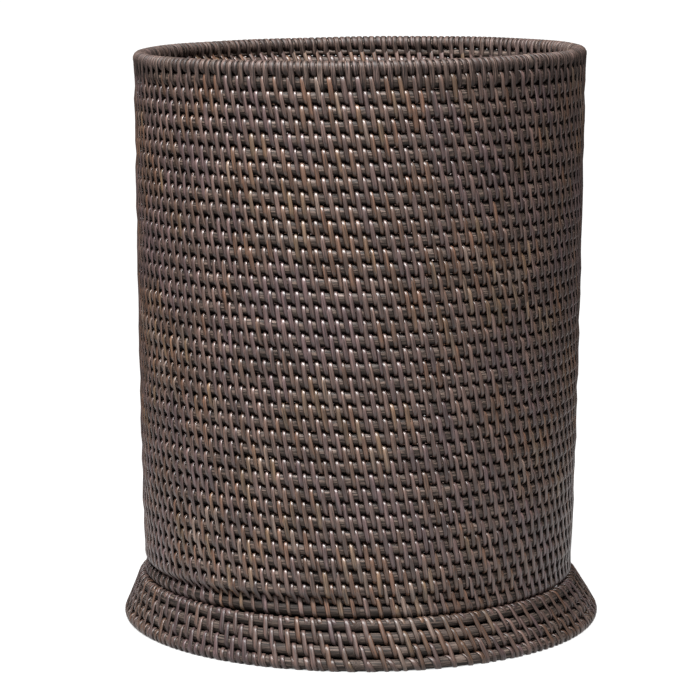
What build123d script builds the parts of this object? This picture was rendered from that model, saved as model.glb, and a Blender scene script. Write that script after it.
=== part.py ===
from build123d import *
import os

# A coiled rattan wastebasket, in millimetres, +Z up, standing on z = 0 and centred on the Z axis.
# Round canes lie one on another in courses. The wall leans out a little towards the rim, the foot
# flares out under the wall, and the floor is a flat coil at the height of the wall's lowest cane.
# The rim and the cane that the basket stands on are whipped with split-cane strip all the way round.
# The gap between two courses holds the strip of the stitches that lace them together.

# Driving dimensions
overall_height = 305.0
cane_radius = 3.25
foot_cane_radius = 2.75
start_cane_radius = 1.5
strip_thickness = 0.45
whipping_clearance = 0.05
course_pitch = 7.1
full_courses = 37
wall_base_radius = 111.4
wall_lean = 2.6
wall_flare = 2.0
rim_radius = 116.2
foot_courses = 4
foot_top_radius = 115.9
foot_top_height = 21.0
foot_bottom_radius = 125.2
foot_flat = 0.2
floor_rings = 15
floor_eye_rings = 2

# Worked out from them
laced_radius = cane_radius + strip_thickness
start_laced_radius = start_cane_radius + strip_thickness
foot_laced_radius = foot_cane_radius + strip_thickness
rim_height = overall_height - laced_radius
lowest_full_height = rim_height - full_courses * course_pitch
start_height = lowest_full_height - course_pitch / 2 - start_laced_radius
base_height = start_height - start_laced_radius - laced_radius
foot_bottom_height = foot_laced_radius - foot_flat


def wall_radius(height):
    """Radius of the wall's cane centres: an even lean, and a quick flare just above the base."""
    rise = (height - base_height) / (rim_height - base_height)
    return wall_base_radius + wall_lean * rise + wall_flare * (1 - (1 - rise) ** 3)


def foot_place(number):
    """Ring radius and height of one foot course, numbered from 1 at the top."""
    down = (number - 1) / (foot_courses - 1)
    radius = foot_top_radius + (foot_bottom_radius - foot_top_radius) * down
    height = foot_top_height + (foot_bottom_height - foot_top_height) * down
    return radius, height


def floor_radius(number):
    """Ring radius of one floor course, numbered from 1 beside the wall."""
    return wall_base_radius - course_pitch * number


def add_cane_ring(radius, height, thickness_radius):
    """Add one closed ring of round cane to the part being built."""
    with BuildSketch(Plane.XZ) as section:
        with Locations((radius, height)):
            Circle(thickness_radius)
    revolve(section.sketch, axis=Axis.Z)


def add_whipping_ring(radius, height, thickness_radius):
    """Add the layer of strip that is wound closely round one ring of cane."""
    with BuildSketch(Plane.XZ) as section:
        with Locations((radius, height)):
            Circle(thickness_radius + strip_thickness)
            Circle(thickness_radius + whipping_clearance, mode=Mode.SUBTRACT)
    revolve(section.sketch, axis=Axis.Z)


def save(builder, name):
    """Label a finished piece and write it to its own file."""
    builder.part.label = name
    export_step(builder.part, f"parts/{name}.step")


os.makedirs("parts", exist_ok=True)

# Wall: the base cane, the thin first turn of the coil, then the full courses from the lowest up
with BuildPart() as wall_base_cane:
    add_cane_ring(wall_radius(base_height), base_height, cane_radius)
save(wall_base_cane, "wall_base_cane")

with BuildPart() as coil_start_cane:
    add_cane_ring(wall_radius(start_height), start_height, start_cane_radius)
save(coil_start_cane, "coil_start_cane")

for number in range(1, full_courses + 1):
    course_height = lowest_full_height + (number - 1) * course_pitch
    with BuildPart() as wall_course:
        add_cane_ring(wall_radius(course_height), course_height, cane_radius)
    save(wall_course, f"wall_course_{number:02d}")

# Rim: one cane and the strip whipped round it
with BuildPart() as rim_cane:
    add_cane_ring(rim_radius, rim_height, cane_radius)
save(rim_cane, "rim_cane")

with BuildPart() as rim_whipping:
    add_whipping_ring(rim_radius, rim_height, cane_radius)
save(rim_whipping, "rim_whipping")

# Foot, from the top course down to the one that the basket stands on
for number in range(1, foot_courses + 1):
    foot_radius, foot_height = foot_place(number)
    with BuildPart() as foot_course:
        add_cane_ring(foot_radius, foot_height, foot_cane_radius)
    save(foot_course, f"foot_course_{number}")

# The lowest foot cane's whipping is worn flat where it stands on the floor
with BuildPart() as foot_sole_whipping:
    add_whipping_ring(foot_bottom_radius, foot_bottom_height, foot_cane_radius)
    split(bisect_by=Plane.XY, keep=Keep.TOP)
save(foot_sole_whipping, "foot_sole_whipping")

# Floor: a flat coil inside the base cane, whose innermost turns are the eye that it starts from
for number in range(1, floor_rings - floor_eye_rings + 1):
    with BuildPart() as floor_course:
        add_cane_ring(floor_radius(number), base_height, cane_radius)
    save(floor_course, f"floor_course_{number:02d}")

with BuildPart() as floor_eye:
    for number in range(floor_rings - floor_eye_rings + 1, floor_rings + 1):
        add_cane_ring(floor_radius(number), base_height, cane_radius)
save(floor_eye, "floor_eye")
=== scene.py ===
import math
from functools import partial

import bpy
import numpy as np
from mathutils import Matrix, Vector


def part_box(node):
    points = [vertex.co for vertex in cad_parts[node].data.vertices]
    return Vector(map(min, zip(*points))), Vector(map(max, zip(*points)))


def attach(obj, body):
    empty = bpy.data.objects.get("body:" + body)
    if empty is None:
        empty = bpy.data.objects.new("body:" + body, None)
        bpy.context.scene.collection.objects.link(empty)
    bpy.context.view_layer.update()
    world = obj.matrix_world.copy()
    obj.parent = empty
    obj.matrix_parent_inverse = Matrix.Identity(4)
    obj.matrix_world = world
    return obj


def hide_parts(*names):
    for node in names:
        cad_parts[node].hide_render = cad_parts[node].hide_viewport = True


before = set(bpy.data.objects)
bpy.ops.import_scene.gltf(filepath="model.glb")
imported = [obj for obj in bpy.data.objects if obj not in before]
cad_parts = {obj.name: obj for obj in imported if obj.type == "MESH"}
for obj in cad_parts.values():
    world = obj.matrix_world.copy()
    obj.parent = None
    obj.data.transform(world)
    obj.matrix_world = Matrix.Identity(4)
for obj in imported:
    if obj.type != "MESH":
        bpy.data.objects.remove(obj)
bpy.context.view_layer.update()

# A coiled rattan wastebasket. Metres, +Z up. An azimuth of 0 is the front (-Y) and grows towards +X.
# The wall is one long cane that winds up in a coil, so places along it are given in turns from where
# it starts. Every course is laced to the one below by a strip that spirals round both canes.

# ---------------------------------------------------------------- sizes

# The split-cane strip
STRIP_THICKNESS = 0.0006
RIM_STRIP_THICKNESS = 0.0007
STRIP_GAP = 0.00004
STRIP_WIDTH = 0.0025
RIM_STRIP_WIDTH = 0.0031
FOOT_STRIP_WIDTH = 0.0026

# Stitches: how many a turn, and where the seam and the sole are bare
STITCHES_PER_TURN = 107.5
RIM_STITCHES = 107
FOOT_STITCHES = 88
SEAM_STITCHES = 107
SEAM_BARE = (math.radians(-41), math.radians(8))
TUCK_DEPTH = 0.0009
RIM_WRAP_LIFT = 0.0002
SOLE_TURNS = 168
SOLE_START = math.radians(-150)
SOLE_BARE = math.radians(160)
SOLE_BARE_WIDTH = math.radians(28)
SOLE_OPENING = 0.62
SEAM_TONE_HEIGHT = 0.02

# The wall's coil, in turns where it isn't metres
COIL_START = math.radians(-120)
COIL_FRONT = 1 / 3
FIRST_RAMP = 0.583
SETTLED_TURNS = 14.0
START_WEDGE = 0.0012
START_CANE = 0.0004
TAIL_STARTS = 37.2
TAIL_ENDS = 38.02
TAIL_RADIUS = 0.00085
TAIL_SWELL = 0.0010
TAIL_GAP = 0.00025
RIM_GAP = 0.00005
RIM_SHRINK = 0.0003
CANE_SWELL = 0.00014
FOOT_SWELL = 0.00016

# How far the basket is from round and upright
FOOT_SHIFTS = (-0.0010, -0.0002, 0.0004, 0.0008)
FOOT_SLIM = 0.0006
WALL_SLIM = (0.0002, 0.0010)
WALL_LEAN = 0.0008
RIM_TILT = 0.0014

# The floor's coil
EYE_REACH = 0.0049
FLOOR_STITCH = 0.0072

# How finely the canes are drawn
CANE_SIDES = 16
STEPS_PER_TURN = 216
WRAP_SHARE = np.linspace(0, 1, 14, endpoint=False)
SOLE_SHARE = np.linspace(0, 1, 12, endpoint=False)

draw = np.random.default_rng(31)


def ring_of(node):
    """Ring radius, height and cane radius of a CAD cane ring. The cane is taken a little thicker, so
    that it closes up on the strips that pass between it and the next."""
    low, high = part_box(node)
    cane = (high[2] - low[2]) / 2
    return high[0] - cane, (high[2] + low[2]) / 2, cane + CANE_SWELL


FULL_COURSES = sum(name.startswith("wall_course_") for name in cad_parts)
course_names = [f"wall_course_{number:02d}" for number in range(1, FULL_COURSES + 1)]
courses = [ring_of(name) for name in course_names]
base_radius, base_height, cane_radius = ring_of("wall_base_cane")
rim_radius, rim_height, _ = ring_of("rim_cane")
course_heights = np.array([base_height] + [height for _, height, _ in courses])
course_radii = np.array([base_radius] + [radius for radius, _, _ in courses])
first_height = courses[0][1]
pitch = courses[1][1] - courses[0][1]
laced_radius = cane_radius + STRIP_GAP + STRIP_THICKNESS


# ---------------------------------------------------------------- where the canes run


def point(azimuth, radius, height):
    """Points, or directions, from cylinder coordinates."""
    azimuth, radius, height = np.broadcast_arrays(azimuth, radius, height)
    return np.stack([radius * np.sin(azimuth), -radius * np.cos(azimuth), height], axis=-1)


def waver(turns, size, frequencies, shift=0.0):
    """A small smooth unevenness along a cane, the same each time it is asked for."""
    total = sum(np.sin(2 * np.pi * (f * turns + shift + 0.37 * n)) for n, f in enumerate(frequencies))
    return size * total / len(frequencies)


def climb(turns):
    """How far a turn of the coil has risen since it passed over the coil's start."""
    part = turns % 1.0
    ramp = np.minimum(part / FIRST_RAMP, 1.0)
    ramp = (ramp + 0.5 - 0.5 * np.cos(np.pi * ramp)) / 2
    steep = np.clip(1 - turns / SETTLED_TURNS, 0, 1)
    front = np.minimum(COIL_FRONT / FIRST_RAMP, 1.0)
    front = (front + 0.5 - 0.5 * np.cos(np.pi * front)) / 2
    return pitch * ((1 - steep) * (part - COIL_FRONT) + steep * (ramp - front))


def full_turn(turns):
    """Height of a full-thickness turn of the coil, before its own waver."""
    return first_height + pitch * (np.floor(turns) - 1) + climb(turns)


def coil(turns):
    """Azimuth, ring radius, height and cane radius of the wall's cane, turns from its start."""
    turns = np.asarray(turns, dtype=float)
    azimuth = COIL_START + 2 * np.pi * turns
    height = full_turn(turns)
    cane = np.full_like(turns, cane_radius)
    # The start is shaved thin, so the first turn is a wedge between the base cane and the next turn.
    top = full_turn(turns + 1) - pitch / 2
    bed = base_height + cane_radius + TAIL_GAP
    wedge = np.clip(top - bed, START_WEDGE, pitch) / 2
    first = turns < 1
    height = np.where(first, bed + wedge, height)
    cane = np.where(first, wedge - (pitch / 2 - cane_radius), cane)
    cane = np.maximum(cane, START_CANE)
    # The end is shaved too, to fit the wedge between the turn below and the rim.
    bed = full_turn(turns - 1) + cane_radius + TAIL_GAP
    _, roof, rim_cane = rim_ring(azimuth)
    room = (roof - rim_cane - RIM_GAP - bed) / 2
    tail = turns > TAIL_STARTS
    cane = np.where(tail, np.clip(room, TAIL_RADIUS, cane_radius + TAIL_SWELL), cane)
    height = np.where(tail, bed + cane, height)
    radius = np.interp(height, course_heights, course_radii) + drawn_in(azimuth, height)
    radius = radius + waver(turns, 0.0005, (3.37, 7.83, 13.41))
    height = height + waver(turns, 0.00018, (4.97, 9.04, 15.96), 0.4)
    return azimuth, radius, height, cane


def drawn_in(azimuth, height):
    """How far the wall stands out from its courses' round and upright shape, less than nothing where the
    lacing has drawn it in: the wall narrows a little more towards its top, and leans as it rises."""
    share = np.clip((height - course_heights[0]) / (course_heights[-1] - course_heights[0]), 0, 1)
    slim = WALL_SLIM[0] * (1 - share) + WALL_SLIM[1] * share
    return -slim - WALL_LEAN * (1 - share) * np.sin(azimuth)


def base_ring(azimuth):
    """Ring radius, height and cane radius of the lowest wall cane at an azimuth."""
    turns = azimuth / (2 * np.pi)
    radius = base_radius + drawn_in(azimuth, base_height) + waver(turns, 0.0003, (3, 7, 11))
    height = base_height + waver(turns, 0.0002, (2, 5, 9), 0.2)
    return radius, height, np.full_like(turns, cane_radius)


def below(turns):
    """Ring radius, height and cane radius of the cane that a turn of the coil lies on."""
    azimuth = COIL_START + 2 * np.pi * turns
    _, radius, height, cane = coil(np.maximum(turns - 1, 0))
    on_base = turns < 1
    base = base_ring(azimuth)
    radius = np.where(on_base, base[0], radius)
    height = np.where(on_base, base[1], height)
    cane = np.where(on_base, base[2], cane)
    return radius, height, cane


def rim_ring(azimuth):
    """Ring radius, height and cane radius of the rim cane at an azimuth."""
    turns = azimuth / (2 * np.pi)
    radius = rim_radius - WALL_SLIM[1] / 2 + waver(turns, 0.0004, (2, 5, 9))
    height = rim_height + RIM_TILT * np.sin(azimuth) + waver(turns, 0.0002, (3, 4, 11), 0.1)
    return radius, height, np.full_like(turns, cane_radius - RIM_SHRINK)


def top_turn(azimuth):
    """Ring radius, height and cane radius of the highest turn of the coil at an azimuth."""
    part = ((azimuth - COIL_START) / (2 * np.pi)) % 1.0
    turns = FULL_COURSES + part
    turns = np.where(turns > TAIL_ENDS, turns - 1, turns)
    _, radius, height, cane = coil(turns)
    return radius, height, cane


foot = [ring_of(f"foot_course_{number}") for number in range(1, 5)]
foot = [(radius, height, cane + FOOT_SWELL) for radius, height, cane in foot[:-1]] + foot[-1:]


def foot_ring(number, azimuth):
    """Ring radius, height and cane radius of a foot course, 0 for the top one, at an azimuth."""
    turns = azimuth / (2 * np.pi)
    ring_radius, height, cane = foot[number]
    lowest = number == len(foot) - 1
    radius = ring_radius + waver(turns, 0.0002 if lowest else 0.0004, (2, 5, 8), 0.13 * number)
    radius = radius - FOOT_SLIM + FOOT_SHIFTS[number] * np.sin(azimuth)
    height = height + waver(turns, 0.0 if lowest else 0.0002, (3, 7, 10), 0.21 * number)
    return radius, height, np.full_like(turns, cane)


# ---------------------------------------------------------------- mesh building


def make_object(name, vertices, faces, strand, tone, crevice_shade):
    """An object from arrays, with the attributes that the materials read."""
    mesh = bpy.data.meshes.new(name)
    mesh.from_pydata(vertices.reshape(-1, 3), [], faces)
    mesh.attributes.new("strand", "FLOAT_VECTOR", "POINT").data.foreach_set("vector", strand.ravel())
    mesh.attributes.new("tone", "FLOAT", "POINT").data.foreach_set("value", tone.ravel())
    mesh.attributes.new("crevice_shade", "FLOAT", "POINT").data.foreach_set("value", crevice_shade.ravel())
    mesh.shade_smooth()
    made = bpy.data.objects.new(name, mesh)
    bpy.context.scene.collection.objects.link(made)
    return made


def skin(rings, sides, closed):
    """Faces between successive rings of points, with end caps where the run is open."""
    start = np.arange(rings if closed else rings - 1)[:, None] * sides
    after = (start + sides) % (rings * sides)
    side = np.arange(sides)[None, :]
    turn = (side + 1) % sides
    faces = np.stack([start + side, after + side, after + turn, start + turn], axis=-1)
    faces = faces.reshape(-1, 4).tolist()
    if not closed:
        faces.append(list(range(sides)))
        faces.append([(rings - 1) * sides + n for n in reversed(range(sides))])
    return faces


# A cane is painted with shade where it meets the next, standing in for the shade in the gap. For the cane
# above and for the cane below: how far round, as a sine from the middle of the side that shows, the painted
# shade starts, and over how much of the sine it deepens.
WALL_HOLLOWS = ((0.74, 0.12), (0.5, 0.2))
FOOT_HOLLOWS = ((0.9, 0.08), (0.82, 0.12))
FOOT_SLANT = math.atan2(foot[-1][0] - foot[0][0], foot[0][1] - foot[-1][1])


def cane_object(name, azimuth, radius, height, cane, closed, tone=0.5, hollows=WALL_HOLLOWS, slant=0.0):
    """A round cane that runs through the given places, in a row of canes that slants outward below."""
    around = np.linspace(0, 2 * np.pi, CANE_SIDES, endpoint=False)
    out = np.cos(around)[None, :] * cane[:, None]
    up = np.sin(around)[None, :] * cane[:, None]
    vertices = point(azimuth[:, None], radius[:, None] + out, height[:, None] + up)
    length = np.concatenate([[0], np.cumsum(np.abs(np.diff(azimuth)) * radius[1:])])
    strand = np.stack(np.broadcast_arrays(length[:, None], out, up), axis=-1)
    # Painted shade: the sides of a cane that face the canes above and below are darkened, standing in for the
    # shade in the gaps between them.
    towards = np.sin(around - slant)
    above, under = hollows
    hidden = np.maximum((towards - above[0]) / above[1], (-towards - under[0]) / under[1])
    crevice_shade = np.broadcast_to(np.clip(hidden, 0, 1), out.shape)
    tones = np.broadcast_to(np.asarray(tone).reshape(-1, 1), out.shape)
    return make_object(name, vertices, skin(len(azimuth), CANE_SIDES, closed), strand.astype(np.float32),
                       tones.astype(np.float32), crevice_shade.astype(np.float32))


# Section of a strip: flat underside, crowned top, as (across in widths, up in thicknesses)
SECTION = np.array([(-0.46, 0.0), (0.46, 0.0), (0.5, 0.35), (0.27, 1.0), (-0.27, 1.0), (-0.5, 0.35)])


def strip_object(name, path, closed=False, thickness=STRIP_THICKNESS):
    """A split-cane strip along a path of (azimuth, radius, height, normal out, normal up, width, tone)."""
    azimuth, radius, height, normal_out, normal_up, width, tone = path
    places = point(azimuth, radius, height)
    normals = point(azimuth, normal_out, normal_up)
    if closed:
        along = np.roll(places, -1, axis=0) - np.roll(places, 1, axis=0)
    else:
        along = np.gradient(places, axis=0)
    along /= np.linalg.norm(along, axis=1, keepdims=True)
    across = np.cross(along, normals)
    across /= np.linalg.norm(across, axis=1, keepdims=True)
    normals = np.cross(across, along)
    wide = SECTION[None, :, 0] * width[:, None]
    thick = np.broadcast_to(SECTION[None, :, 1] * thickness, wide.shape)
    vertices = places[:, None] + across[:, None] * wide[..., None] + normals[:, None] * thick[..., None]
    step = np.linalg.norm(np.diff(places, axis=0), axis=1)
    length = np.concatenate([[0], np.cumsum(step)])
    strand = np.stack(np.broadcast_arrays(length[:, None], wide, thick), axis=-1)
    tones = np.broadcast_to(tone[:, None], wide.shape)
    # Painted shade: a strip is darkened from its crown down its edges towards its underside, where it meets
    # the cane.
    crevice_shade = np.broadcast_to(1 - SECTION[None, :, 1] * np.ones_like(wide), wide.shape)
    return make_object(name, vertices, skin(len(azimuth), len(SECTION), closed),
                       strand.astype(np.float32), tones.astype(np.float32), crevice_shade.astype(np.float32))


# ---------------------------------------------------------------- how a strip goes round two canes

# Places round one stitch that starts on top of the upper cane, as (share of the way from the upper
# cane to the lower, turn about that cane from -1 to 1). The outer leg comes first, then the inner.
TOP_OUT = [(0.0, k) for k in (0.0, 0.25, 0.5, 0.75, 1.0)]
LEG_OUT = [(0.33, 1.0), (0.67, 1.0)]
BOTTOM = [(1.0, k) for k in (1.0, 0.75, 0.5, 0.25, 0.0, -0.25, -0.5, -0.75, -1.0)]
LEG_IN = [(0.5, -1.0)]
TOP_IN = [(0.0, k) for k in (-1.0, -0.75, -0.5, -0.25)]
STITCH = np.array(TOP_OUT + LEG_OUT + BOTTOM + LEG_IN + TOP_IN)


def stitch_share(span, cane):
    """How much of a stitch's length has run by each of its places, from 0 to 1."""
    steps = []
    for (m0, k0), (m1, k1) in zip(STITCH, np.roll(STITCH, -1, axis=0)):
        steps.append(span * abs(m1 - m0) + np.pi / 2 * cane * abs(k1 - k0))
    steps = np.array(steps)
    return np.concatenate([[0], np.cumsum(steps)[:-1]]) / steps.sum()


SHARE = stitch_share(pitch, laced_radius)


def loop_path(azimuth, upper, lower, width, tone):
    """The path of stitches round two canes. upper and lower hold ring radius, height and cane radius
    at each place of each stitch; azimuth, width and tone have the same shape."""
    share = STITCH[None, :, 0]
    turn = STITCH[None, :, 1]
    rise_out = upper[0] - lower[0]
    rise_up = upper[1] - lower[1]
    distance = np.hypot(rise_out, rise_up)
    up_out = rise_out / distance
    up_up = rise_up / distance
    side_out = up_up
    side_up = -up_out
    upper_reach = upper[2] + STRIP_GAP
    lower_reach = lower[2] + STRIP_GAP
    lean = np.arcsin(np.clip((lower_reach - upper_reach) / distance, -0.95, 0.95))
    on_upper = np.pi / 2 - turn * (np.pi / 2 - lean)
    on_lower = -np.pi / 2 + turn * (np.pi / 2 + lean)
    angle = np.where(share < 0.01, on_upper, on_lower)
    normal_out = np.cos(angle) * side_out + np.sin(angle) * up_out
    normal_up = np.cos(angle) * side_up + np.sin(angle) * up_up
    centre_out = upper[0] * (1 - share) + lower[0] * share
    centre_up = upper[1] * (1 - share) + lower[1] * share
    reach = upper_reach * (1 - share) + lower_reach * share
    radius = centre_out + normal_out * reach
    height = centre_up + normal_up * reach
    return [np.ravel(np.broadcast_to(a, azimuth.shape))
            for a in (azimuth, radius, height, normal_out, normal_up, width, tone)]


def pinch(width):
    """Widths along each stitch: a strip is narrower where it is drawn in between two canes."""
    legs = 1 - 0.12 * np.abs(np.cos(np.pi / 2 * STITCH[:, 1]))
    return width[:, None] * legs[None, :]


STAIN_WAVES = [(3, 31, 0.4), (5, -47, 1.7), (9, 83, 4.1), (14, -120, 2.2), (2, 70, 5.3), (23, 200, 3.0)]


def stain(azimuth, height):
    """A smooth field about 0 over the basket, for stain that took differently in patches."""
    return sum(np.sin(a * azimuth + h * height + shift) for a, h, shift in STAIN_WAVES) / len(STAIN_WAVES)


def stitch_tones(azimuth, height):
    """A tone for each stitch: its own, and that of the patch of stain it is in."""
    return np.clip(0.45 + 0.75 * stain(azimuth, height) + 0.55 * (draw.random(len(azimuth)) - 0.5), 0, 1)


def spread(starts, share):
    """Places along each stitch, at shares of the way from its start to the next."""
    return starts[:-1, None] + (starts[1:] - starts[:-1])[:, None] * share[None, :]


def ring_starts(count, unevenness, phase=0.0):
    """Azimuths where the stitches of a closed ring start, with the first again at the end."""
    starts = 2 * np.pi * (np.arange(count + 1) + phase + draw.normal(0, unevenness, count + 1)) / count
    starts[-1] = starts[0] + 2 * np.pi
    return starts


def widths(width, unevenness, count):
    """A width for each stitch."""
    return width * (1 + draw.normal(0, unevenness, count))


def wall_lacing(name, first, last):
    """One strip that laces the coil from one number of turns to another."""
    count = int(round((last - first) * STITCHES_PER_TURN))
    starts = first + np.arange(count + 1) / STITCHES_PER_TURN
    starts = starts + draw.normal(0, 0.05, count + 1) / STITCHES_PER_TURN
    turns = spread(starts, SHARE)
    azimuth, radius, height, cane = coil(turns)
    width = pinch(widths(STRIP_WIDTH, 0.09, count))
    tone = np.broadcast_to(stitch_tones(azimuth[:, 0], height[:, 0])[:, None], turns.shape)
    path = loop_path(azimuth, (radius, height, cane), below(turns), width, tone)
    return strip_object(name, path)


def ring_lacing(name, count, upper, lower, width, phase, unevenness):
    """One strip that laces two rings of cane together all the way round."""
    azimuth = spread(ring_starts(count, unevenness, phase), SHARE)
    width = pinch(widths(width, 0.07, count))
    tone = np.broadcast_to(stitch_tones(azimuth[:, 0], upper(azimuth)[1][:, 0])[:, None], azimuth.shape)
    return strip_object(name, loop_path(azimuth, upper(azimuth), lower(azimuth), width, tone), closed=True)


def wrap_path(azimuth, ring, angle, lift, width, tone):
    """The path of a strip wound round one cane: angle is measured at the cane's middle from outward."""
    radius, height, cane = ring
    reach = cane + lift
    normal_out = np.cos(angle)
    normal_up = np.sin(angle)
    values = (azimuth, radius + normal_out * reach, height + normal_up * reach, normal_out, normal_up,
              width, tone)
    return [np.ravel(np.broadcast_to(a, azimuth.shape)) for a in values]


def wound_strip(name, ring, starts, share, lift, width, tone_height):
    """A closed strip wound round one cane, with a turn from each start to the next."""
    azimuth = spread(starts, share)
    angle = np.pi / 2 - 2 * np.pi * share[None, :]
    tone = stitch_tones(azimuth[:, 0], tone_height)[:, None]
    path = wrap_path(azimuth, ring(azimuth), angle, lift, width[:, None], tone)
    return strip_object(name, path, closed=True)


# ---------------------------------------------------------------- materials


def nodes_of(name):
    """A new node material, its node tree and its shader."""
    material = bpy.data.materials.new(name)
    material.use_nodes = True
    tree = material.node_tree
    return material, tree, tree.nodes["Principled BSDF"]


def attribute(tree, name, kind):
    """The output of a mesh attribute."""
    node = tree.nodes.new("ShaderNodeAttribute")
    node.attribute_name = name
    return node.outputs[kind]


def noise(tree, vector, scale, detail=3.0, roughness=0.55):
    """A noise texture that is stretched by the three scales."""
    mapping = tree.nodes.new("ShaderNodeMapping")
    mapping.inputs["Scale"].default_value = scale
    tree.links.new(vector, mapping.inputs["Vector"])
    texture = tree.nodes.new("ShaderNodeTexNoise")
    texture.inputs["Scale"].default_value = 1.0
    texture.inputs["Detail"].default_value = detail
    texture.inputs["Roughness"].default_value = roughness
    tree.links.new(mapping.outputs["Vector"], texture.inputs["Vector"])
    return texture.outputs["Fac"]


def ramp(tree, value, stops, mode="LINEAR"):
    """A colour ramp through (position, colour) stops."""
    node = tree.nodes.new("ShaderNodeValToRGB")
    node.color_ramp.interpolation = mode
    elements = node.color_ramp.elements
    elements[0].position, elements[0].color = stops[0][0], (*stops[0][1], 1)
    elements[1].position, elements[1].color = stops[-1][0], (*stops[-1][1], 1)
    for position, colour in stops[1:-1]:
        elements.new(position).color = (*colour, 1)
    tree.links.new(value, node.inputs["Fac"])
    return node.outputs["Color"]


def mix(tree, kind, factor, first, second):
    """Two colours mixed: first and second are sockets or colours, factor a socket or a number."""
    node = tree.nodes.new("ShaderNodeMix")
    node.data_type = "RGBA"
    node.blend_type = kind
    inputs = [node.inputs[0], node.inputs[6], node.inputs[7]]
    for socket, value in zip(inputs, (factor, first, second)):
        if isinstance(value, bpy.types.NodeSocket):
            tree.links.new(value, socket)
        elif isinstance(value, tuple):
            socket.default_value = (*value, 1)
        else:
            socket.default_value = value
    return node.outputs[2]


def between(tree, value, low, high):
    """A value from 0 to 1 moved into a range."""
    node = tree.nodes.new("ShaderNodeMapRange")
    node.inputs["To Min"].default_value = low
    node.inputs["To Max"].default_value = high
    tree.links.new(value, node.inputs["Value"])
    return node.outputs["Result"]


BROAD_SCALE = (60, 260, 260)
BROAD_GRAIN = [(0.3, (0.7, 0.68, 0.66)), (0.7, (1.25, 1.25, 1.25))]
BROAD_SHARE = 0.7
BUMP_STRENGTH = 0.6


def rattan(name, tones, grain, grain_scale, rough, specular, shade_colour, bump_height):
    """Stained rattan: a tone for each length, fine grain along it, and painted shade in the hollows."""
    material, tree, shader = nodes_of(name)
    strand = attribute(tree, "strand", "Vector")
    crevice_shade = attribute(tree, "crevice_shade", "Fac")
    fine = noise(tree, strand, grain_scale, 3.0)
    broad = noise(tree, strand, BROAD_SCALE, 2.0)
    colour = ramp(tree, attribute(tree, "tone", "Fac"), tones)
    colour = mix(tree, "MULTIPLY", 1.0, colour, ramp(tree, fine, grain))
    colour = mix(tree, "MULTIPLY", BROAD_SHARE, colour, ramp(tree, broad, BROAD_GRAIN))
    # Painted shade: the colour is darkened where the mesh marks a hollow between a cane or strip and its
    # neighbour.
    colour = mix(tree, "MULTIPLY", crevice_shade, colour, shade_colour)
    tree.links.new(colour, shader.inputs["Base Color"])
    tree.links.new(between(tree, fine, rough[0], rough[1]), shader.inputs["Roughness"])
    shader.inputs["Specular IOR Level"].default_value = specular
    bump = tree.nodes.new("ShaderNodeBump")
    bump.inputs["Strength"].default_value = BUMP_STRENGTH
    bump.inputs["Distance"].default_value = bump_height
    tree.links.new(fine, bump.inputs["Height"])
    tree.links.new(bump.outputs["Normal"], shader.inputs["Normal"])
    return material


def shaded(tones, level):
    """The same tones, lighter or darker."""
    return [(place, tuple(level * part for part in colour)) for place, colour in tones]


STRIP_TONES = [(0.0, (0.048, 0.030, 0.030)), (0.3, (0.047, 0.029, 0.0255)), (0.5, (0.056, 0.035, 0.029)),
               (0.66, (0.046, 0.026, 0.0175)), (0.78, (0.061, 0.031, 0.0195)), (0.88, (0.064, 0.040, 0.0235)),
               (1.0, (0.076, 0.053, 0.043))]
CANE_TONES = [(0.0, (0.032, 0.0225, 0.018)), (0.5, (0.043, 0.031, 0.0255)), (1.0, (0.058, 0.043, 0.036))]
RIM_TONES = [(0.0, (0.050, 0.034, 0.031)), (0.5, (0.053, 0.036, 0.031)), (0.8, (0.050, 0.033, 0.027)),
             (1.0, (0.070, 0.051, 0.043))]
STRIP_GRAIN = [(0.34, (0.34, 0.31, 0.29)), (0.5, (0.94, 0.93, 0.92)), (0.66, (1.75, 1.73, 1.71))]
CANE_GRAIN = [(0.36, (0.22, 0.2, 0.18)), (0.5, (0.9, 0.88, 0.86)), (0.62, (2.6, 2.57, 2.54))]
STRIP_PAINTED_SHADE = (0.25, 0.2, 0.17)
CANE_PAINTED_SHADE = (0.05, 0.015, 0.005)
strip_look = rattan("strip_look", shaded(STRIP_TONES, 1.14), STRIP_GRAIN, (60, 1300, 1300), (0.46, 0.34), 0.5,
                    STRIP_PAINTED_SHADE, 0.00008)
rim_look = rattan("rim_look", shaded(RIM_TONES, 0.66), CANE_GRAIN, (100, 1500, 1500), (0.62, 0.46), 0.24,
                  STRIP_PAINTED_SHADE, 0.0003)
# The foot's looks are darker copies of the wall's. For the foot strips this is painted shade, holding down
# the overhead light that the outward-flaring foot faces. The foot canes are darker partly in their own colour
# and partly by the same painted shade.
foot_strip_shaded_look = rattan("foot_strip_shaded_look", shaded(STRIP_TONES, 0.84), STRIP_GRAIN, (60, 1300, 1300),
                         (0.5, 0.38), 0.36, STRIP_PAINTED_SHADE, 0.00008)
cane_look = rattan("cane_look", shaded(CANE_TONES, 0.84), CANE_GRAIN, (130, 1150, 1150), (0.66, 0.46), 0.2,
                   CANE_PAINTED_SHADE, 0.0003)
foot_cane_look = rattan("foot_cane_look", shaded(CANE_TONES, 0.52), CANE_GRAIN, (70, 1150, 1150),
                        (0.75, 0.6), 0.18, CANE_PAINTED_SHADE, 0.0003)


def finish_piece(piece, look, slot, *nodes):
    """Give a piece its material and its body, and name the CAD nodes it stands for. Its slot is not used."""
    piece.data.materials.append(look)
    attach(piece, "root")
    if nodes:
        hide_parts(*nodes)
    return piece


# ---------------------------------------------------------------- the wall


def stretches(length):
    """The coil's turns, cut into stretches of a length, as (first, last)."""
    return [(first, min(first + length, TAIL_ENDS)) for first in np.arange(0, TAIL_ENDS, length)]


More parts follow.
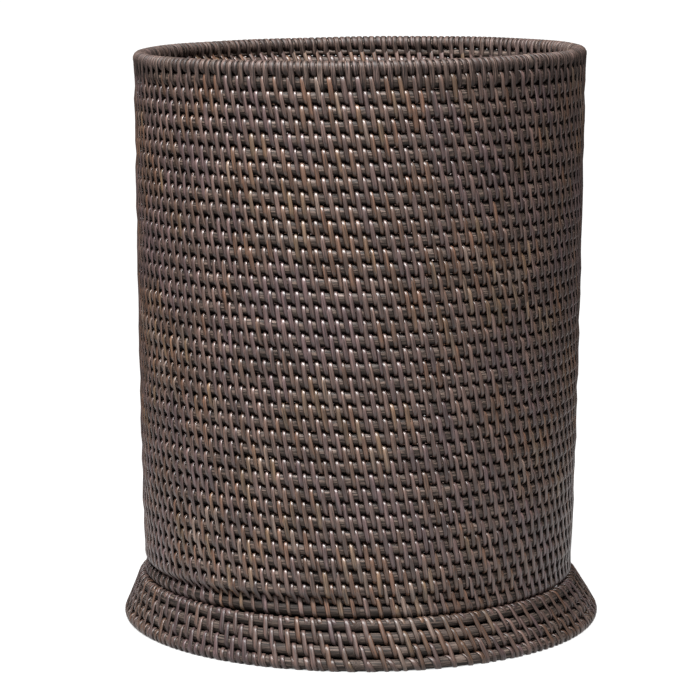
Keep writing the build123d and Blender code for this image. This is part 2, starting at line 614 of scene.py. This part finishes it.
wall_turns = 5
for number, (first, last) in enumerate(stretches(wall_turns)):
    turns = np.linspace(first, last, int((last - first) * STEPS_PER_TURN))
    azimuth, radius, height, cane = coil(turns)
    tone = 0.5 + waver(turns, 0.5, (0.7, 1.9, 3.1), 0.6)
    piece = cane_object(f"wall_cane_{number + 1}", azimuth, radius, height, cane, False, tone)
    names = course_names[max(0, int(first) - 1) : int(first) + wall_turns - 1]
    if number == 0:
        names = ["coil_start_cane"] + course_names[: wall_turns - 1]
    finish_piece(piece, cane_look, "wall_cane", *names)

lacing_turns = 4
for number, (first, last) in enumerate(stretches(lacing_turns)):
    piece = wall_lacing(f"wall_lacing_{number + 1:02d}", first, last)
    finish_piece(piece, strip_look, "cane_strip")


def closed_ring(name, ring, tone=0.5, hollows=WALL_HOLLOWS, slant=0.0):
    """A closed ring of cane from a function of azimuth."""
    azimuth = np.linspace(0, 2 * np.pi, STEPS_PER_TURN, endpoint=False)
    radius, height, cane = ring(azimuth)
    return cane_object(name, azimuth, radius, height, cane, True, tone, hollows, slant)


finish_piece(closed_ring("wall_base", base_ring, 0.15), foot_cane_look, "wall_cane", "wall_base_cane")


def seam_strip(name, count):
    """Strip round the wall's lowest cane, between the stitches of the wall. It ties the foot on. On
    one part of the front it is tucked in and the cane is bare."""
    starts = ring_starts(count, 0.08) - np.pi
    bare = (starts[:-1] > SEAM_BARE[0]) & (starts[:-1] < SEAM_BARE[1])
    lift = np.where(bare, -2 * STRIP_THICKNESS, STRIP_GAP)[:, None]
    width = widths(STRIP_WIDTH, 0.1, count)
    return wound_strip(name, base_ring, starts, WRAP_SHARE, lift, width, base_height)


finish_piece(seam_strip("wall_seam_strip", SEAM_STITCHES), foot_strip_shaded_look, "cane_strip")

# ---------------------------------------------------------------- the rim

finish_piece(closed_ring("rim_core", rim_ring), cane_look, "wall_cane", "rim_cane")


def rim_strip(name):
    """The rim's strip: by turns a long stitch down to the highest course and a short wrap."""
    starts = ring_starts(RIM_STITCHES, 0.04)
    gaps = starts[1:] - starts[:-1]
    tones = stitch_tones(starts[:-1], rim_height)
    long_azimuth = starts[:-1, None] + gaps[:, None] * 0.5 * SHARE[None, :]
    long_width = pinch(widths(RIM_STRIP_WIDTH, 0.06, RIM_STITCHES))
    long_path = loop_path(long_azimuth, rim_ring(long_azimuth), top_turn(long_azimuth), long_width,
                          tones[:, None])
    short_azimuth = starts[:-1, None] + gaps[:, None] * 0.5 * (1 + WRAP_SHARE[None, :] ** 1.3)
    short_width = widths(RIM_STRIP_WIDTH, 0.06, RIM_STITCHES)[:, None]
    angle = np.pi / 2 - 2 * np.pi * WRAP_SHARE[None, :]
    lift = STRIP_GAP + RIM_WRAP_LIFT * np.sin(np.pi * WRAP_SHARE[None, :])
    short_path = wrap_path(short_azimuth, rim_ring(short_azimuth), angle, lift, short_width,
                           draw.permutation(tones)[:, None])
    joined = []
    for long_values, short_values in zip(long_path, short_path):
        rows = [values.reshape(RIM_STITCHES, -1) for values in (long_values, short_values)]
        joined.append(np.concatenate(rows, axis=1).ravel())
    return strip_object(name, joined, closed=True, thickness=RIM_STRIP_THICKNESS)


finish_piece(rim_strip("rim_strip"), rim_look, "cane_strip", "rim_whipping")

# ---------------------------------------------------------------- the foot


def press_flat(piece):
    """Press a piece flat where the basket stands on it."""
    for vertex in piece.data.vertices:
        vertex.co.z = max(vertex.co.z, 0.0)


for number in range(len(foot)):
    piece = closed_ring(f"foot_cane_{number + 1}", partial(foot_ring, number), 0.6 + 0.1 * number,
                        FOOT_HOLLOWS, FOOT_SLANT)
    finish_piece(piece, foot_cane_look, "foot_cane", f"foot_course_{number + 1}")

for number in range(len(foot) - 1):
    piece = ring_lacing(f"foot_lacing_{number + 1}", FOOT_STITCHES, partial(foot_ring, number),
                        partial(foot_ring, number + 1), FOOT_STRIP_WIDTH, 0.5 * number, 0.1)
    press_flat(piece)
    finish_piece(piece, foot_strip_shaded_look, "cane_strip")


def stub_strip(name, count):
    """Strip that ties the foot's top cane up to the wall. Only its upper part shows: each turn comes out
    of the seam, crosses the top of the cane and is tucked in under its neighbours."""
    starts = ring_starts(count, 0.12, 0.5)
    tucked = np.clip((WRAP_SHARE - 0.1) / 0.1, 0, 1) * np.clip((0.95 - WRAP_SHARE) / 0.1, 0, 1)
    lift = STRIP_GAP - TUCK_DEPTH * tucked[None, :]
    return wound_strip(name, partial(foot_ring, 0), starts, WRAP_SHARE, lift,
                       widths(FOOT_STRIP_WIDTH, 0.1, count), SEAM_TONE_HEIGHT)


finish_piece(stub_strip("foot_seam_strip", FOOT_STITCHES), foot_strip_shaded_look, "cane_strip")


def sole_strip(name, count):
    """Strip wound round the lowest foot cane, pressed flat where the basket stands. Its turns lie
    close together except at the front, where the cane shows between them."""
    around = np.linspace(0, 2 * np.pi, 721)
    closeness = 1 - SOLE_OPENING * np.exp(-((around - SOLE_BARE) / SOLE_BARE_WIDTH) ** 2)
    wound = np.concatenate([[0], np.cumsum((closeness[1:] + closeness[:-1]) / 2)])
    wound = wound / wound[-1] * count
    starts = np.interp(np.arange(count + 1) + draw.normal(0, 0.06, count + 1), wound, around) + SOLE_START
    starts[-1] = starts[0] + 2 * np.pi
    piece = wound_strip(name, partial(foot_ring, len(foot) - 1), starts, SOLE_SHARE, STRIP_GAP,
                        widths(FOOT_STRIP_WIDTH, 0.08, count), 0.0)
    press_flat(piece)
    return piece


finish_piece(sole_strip("foot_sole_strip", SOLE_TURNS), foot_strip_shaded_look, "cane_strip", "foot_sole_whipping")

# ---------------------------------------------------------------- the floor of the basket

floor_names = sorted(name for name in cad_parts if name.startswith("floor_"))
floor_outer, floor_height, floor_cane = ring_of("floor_course_01")
floor_turns = (floor_outer - EYE_REACH) / pitch


def floor_coil(turns):
    """Azimuth, ring radius, height and cane radius of the floor's cane, turns from its eye."""
    azimuth = COIL_START - 2 * np.pi * (floor_turns - turns)
    radius = EYE_REACH + pitch * turns + waver(turns, 0.0002, (3.1, 7.3))
    height = floor_height + waver(turns, 0.0003, (2.3, 5.1), 0.3)
    return azimuth, radius, height, np.full_like(turns, floor_cane)


turns = np.concatenate([np.arange(0, 3, 1 / 40), np.arange(3, floor_turns, 1 / 120)])
azimuth, radius, height, cane = floor_coil(turns)
floor_piece = cane_object("floor_cane", azimuth, radius, height, cane, False)
finish_piece(floor_piece, cane_look, "floor_cane", *floor_names)


def floor_lacing(name):
    """The strip that laces each turn of the floor's coil to the turn inside it."""
    places = [1.0]
    while places[-1] < floor_turns:
        reach = EYE_REACH + pitch * places[-1]
        places.append(places[-1] + FLOOR_STITCH / (2 * np.pi * reach))
    starts = np.array(places)
    turns = spread(starts, SHARE)
    azimuth, radius, height, cane = floor_coil(turns)
    _, inner_radius, inner_height, inner_cane = floor_coil(turns - 1)
    width = pinch(widths(STRIP_WIDTH, 0.06, len(starts) - 1))
    tone = np.broadcast_to(stitch_tones(azimuth[:, 0], radius[:, 0])[:, None], turns.shape)
    path = loop_path(azimuth, (radius, height, cane), (inner_radius, inner_height, inner_cane), width, tone)
    return strip_object(name, path)


finish_piece(floor_lacing("floor_strip"), strip_look, "cane_strip")

# ---------------------------------------------------------------- the set

GROUND_REACH = 0.4
ground_mesh = bpy.data.meshes.new("ground")
corners = [(x * GROUND_REACH, y * GROUND_REACH, 0) for x, y in ((-1, -1), (1, -1), (1, 1), (-1, 1))]
ground_mesh.from_pydata(corners, [], [(0, 1, 2, 3)])
ground = bpy.data.objects.new("ground", ground_mesh)
bpy.context.scene.collection.objects.link(ground)
ground_look, ground_tree, ground_shader = nodes_of("ground_look")
ground_shader.inputs["Base Color"].default_value = (0.12, 0.12, 0.12, 1)
ground_shader.inputs["Emission Color"].default_value = (1, 1, 1, 1)
ground_shader.inputs["Roughness"].default_value = 0.9
ground_shader.inputs["Specular IOR Level"].default_value = 0.1
# The pale floor glows as a light table does and lights the basket from below; in a disc where the basket
# stands the glow is masked off, a painted shadow under it.
place = ground_tree.nodes.new("ShaderNodeTexCoord")
reach = ground_tree.nodes.new("ShaderNodeVectorMath")
reach.operation = "LENGTH"
ground_tree.links.new(place.outputs["Object"], reach.inputs[0])
glow = ground_tree.nodes.new("ShaderNodeMapRange")
glow.interpolation_type = "SMOOTHSTEP"
glow.inputs["From Min"].default_value = foot[-1][0] - 0.006
glow.inputs["From Max"].default_value = foot[-1][0] + 0.003
glow.inputs["To Max"].default_value = 0.9
ground_tree.links.new(reach.outputs["Value"], glow.inputs["Value"])
ground_tree.links.new(glow.outputs["Result"], ground_shader.inputs["Emission Strength"])
ground_mesh.materials.append(ground_look)

# The studio is seen as white. Its light on the basket is soft, and nearly all of it comes from the front.
STUDIO_LEVEL = 0.31
STUDIO_TILT = (-0.02, -0.77, 0.05)
STUDIO_LEAST = 0.06
BACKDROP_LEVEL = 1.1
world = bpy.data.worlds.new("studio")
world.use_nodes = True
tree = world.node_tree
backdrop = tree.nodes["Background"]
backdrop.inputs["Color"].default_value = (1, 1, 1, 1)
backdrop.inputs["Strength"].default_value = BACKDROP_LEVEL
direction = tree.nodes.new("ShaderNodeTexCoord")
tilt = tree.nodes.new("ShaderNodeVectorMath")
tilt.operation = "DOT_PRODUCT"
tilt.inputs[1].default_value = STUDIO_TILT
tree.links.new(direction.outputs["Generated"], tilt.inputs[0])
level = tree.nodes.new("ShaderNodeMath")
level.operation = "ADD"
level.inputs[1].default_value = STUDIO_LEVEL
tree.links.new(tilt.outputs["Value"], level.inputs[0])
least = tree.nodes.new("ShaderNodeMath")
least.operation = "MAXIMUM"
least.inputs[1].default_value = STUDIO_LEAST
tree.links.new(level.outputs["Value"], least.inputs[0])
studio = tree.nodes.new("ShaderNodeBackground")
tree.links.new(least.outputs["Value"], studio.inputs["Strength"])
seen = tree.nodes.new("ShaderNodeLightPath")
either = tree.nodes.new("ShaderNodeMixShader")
tree.links.new(seen.outputs["Is Camera Ray"], either.inputs["Fac"])
tree.links.new(studio.outputs["Background"], either.inputs[1])
tree.links.new(backdrop.outputs["Background"], either.inputs[2])
tree.links.new(either.outputs["Shader"], tree.nodes["World Output"].inputs["Surface"])
bpy.context.scene.world = world


def soft_light(name, place, target, width, depth, power):
    """A rectangular soft light aimed at a place."""
    data = bpy.data.lights.new(name, "AREA")
    data.shape = "RECTANGLE"
    data.size = width
    data.size_y = depth
    data.energy = power
    lamp = bpy.data.objects.new(name, data)
    lamp.location = place
    aim = np.array(target) - np.array(place)
    yaw = math.atan2(aim[0], aim[1])
    pitch_angle = math.atan2(np.hypot(aim[0], aim[1]), -aim[2])
    lamp.rotation_euler = (pitch_angle, 0, -yaw)
    bpy.context.scene.collection.objects.link(lamp)
    return lamp


soft_light("key", place=(-0.24, -0.6, 1.75), target=(0, 0, 0.15), width=1.5, depth=0.4, power=146)

CAMERA_DIP = 9.175
camera_data = bpy.data.cameras.new("camera")
camera_data.sensor_width = 36
camera_data.lens = 147.0
camera = bpy.data.objects.new("camera", camera_data)
camera.location = (-0.0052, -1.515, 0.388)
camera.rotation_euler = (math.radians(90 - CAMERA_DIP), 0, 0)
bpy.context.scene.collection.objects.link(camera)
bpy.context.scene.camera = camera
bpy.context.scene.view_settings.view_transform = "Standard"
